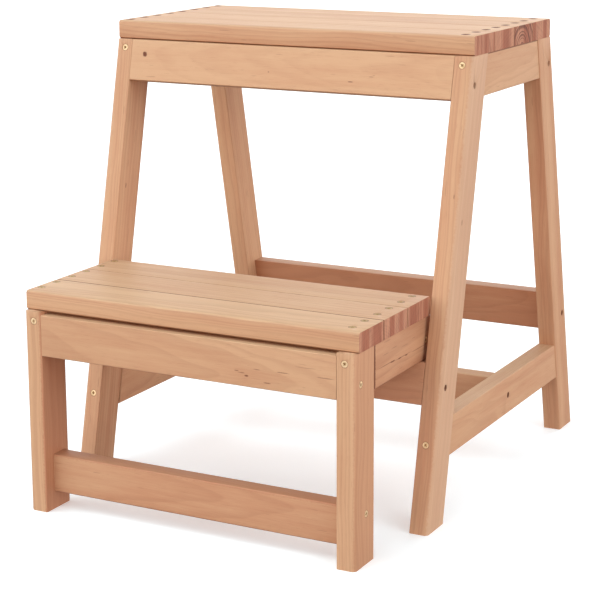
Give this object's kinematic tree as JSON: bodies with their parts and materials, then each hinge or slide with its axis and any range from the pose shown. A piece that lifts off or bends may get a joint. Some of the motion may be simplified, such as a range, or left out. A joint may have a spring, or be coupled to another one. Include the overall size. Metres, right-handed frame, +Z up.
{
  "type": "folding step stool",
  "caption": "Wooden step stool with slatted treads and splayed legs; its lower step swings up and over on butt hinges to fold into the frame.",
  "frame": {"origin": "centre of the footprint's bounding box on the floor, with the lower step unfolded", "axes": "+X to the right, +Y from the lower step to the back, +Z up"},
  "size_m": [0.43, 0.5538, 0.5],
  "materials": {
    "tread_wood": "oiled, satin",
    "frame_wood": "oiled, satin",
    "screw_brass": "satin",
    "hinge_brass": "satin"
  },
  "bodies": {
    "upper_step": {"upper_slat_1": "tread_wood", "upper_slat_2": "tread_wood", "upper_slat_3": "tread_wood", "upper_slat_4": "tread_wood", "leg_front_left": "frame_wood", "leg_front_right": "frame_wood", "leg_rear_left": "frame_wood", "leg_rear_right": "frame_wood", "apron_front": "frame_wood", "apron_rear": "frame_wood", "apron_left": "frame_wood", "apron_right": "frame_wood", "stretcher_left": "frame_wood", "stretcher_right": "frame_wood", "stretcher_rear": "frame_wood", "cross_rail_front": "frame_wood", "cross_rail_middle": "frame_wood", "upper_slat_screws": "screw_brass", "upper_leg_screws": "screw_brass", "upper_side_screws": "screw_brass", "hinge_leaf_fixed_left": "hinge_brass", "hinge_leaf_fixed_right": "hinge_brass", "hinge_pin_left": "hinge_brass", "hinge_pin_right": "hinge_brass"},
    "lower_step": {"lower_slat_1": "tread_wood", "lower_slat_2": "tread_wood", "lower_slat_3": "tread_wood", "lower_leg_left": "frame_wood", "lower_leg_right": "frame_wood", "lower_rail_front": "frame_wood", "lower_rail_left": "frame_wood", "lower_rail_right": "frame_wood", "lower_rail_rear": "frame_wood", "lower_stretcher": "frame_wood", "lower_slat_screws": "screw_brass", "lower_leg_screws": "screw_brass", "lower_side_screws": "screw_brass", "hinge_leaf_moving_left": "hinge_brass", "hinge_leaf_moving_right": "hinge_brass"}
  },
  "joints": [
    {"name": "lower_step_fold", "type": "hinge", "parent": "upper_step", "child": "lower_step", "pos_m": [0, -0.09625, 0.175], "axis": [-1, 0, 0], "range_deg": [0, 180]}
  ]
}
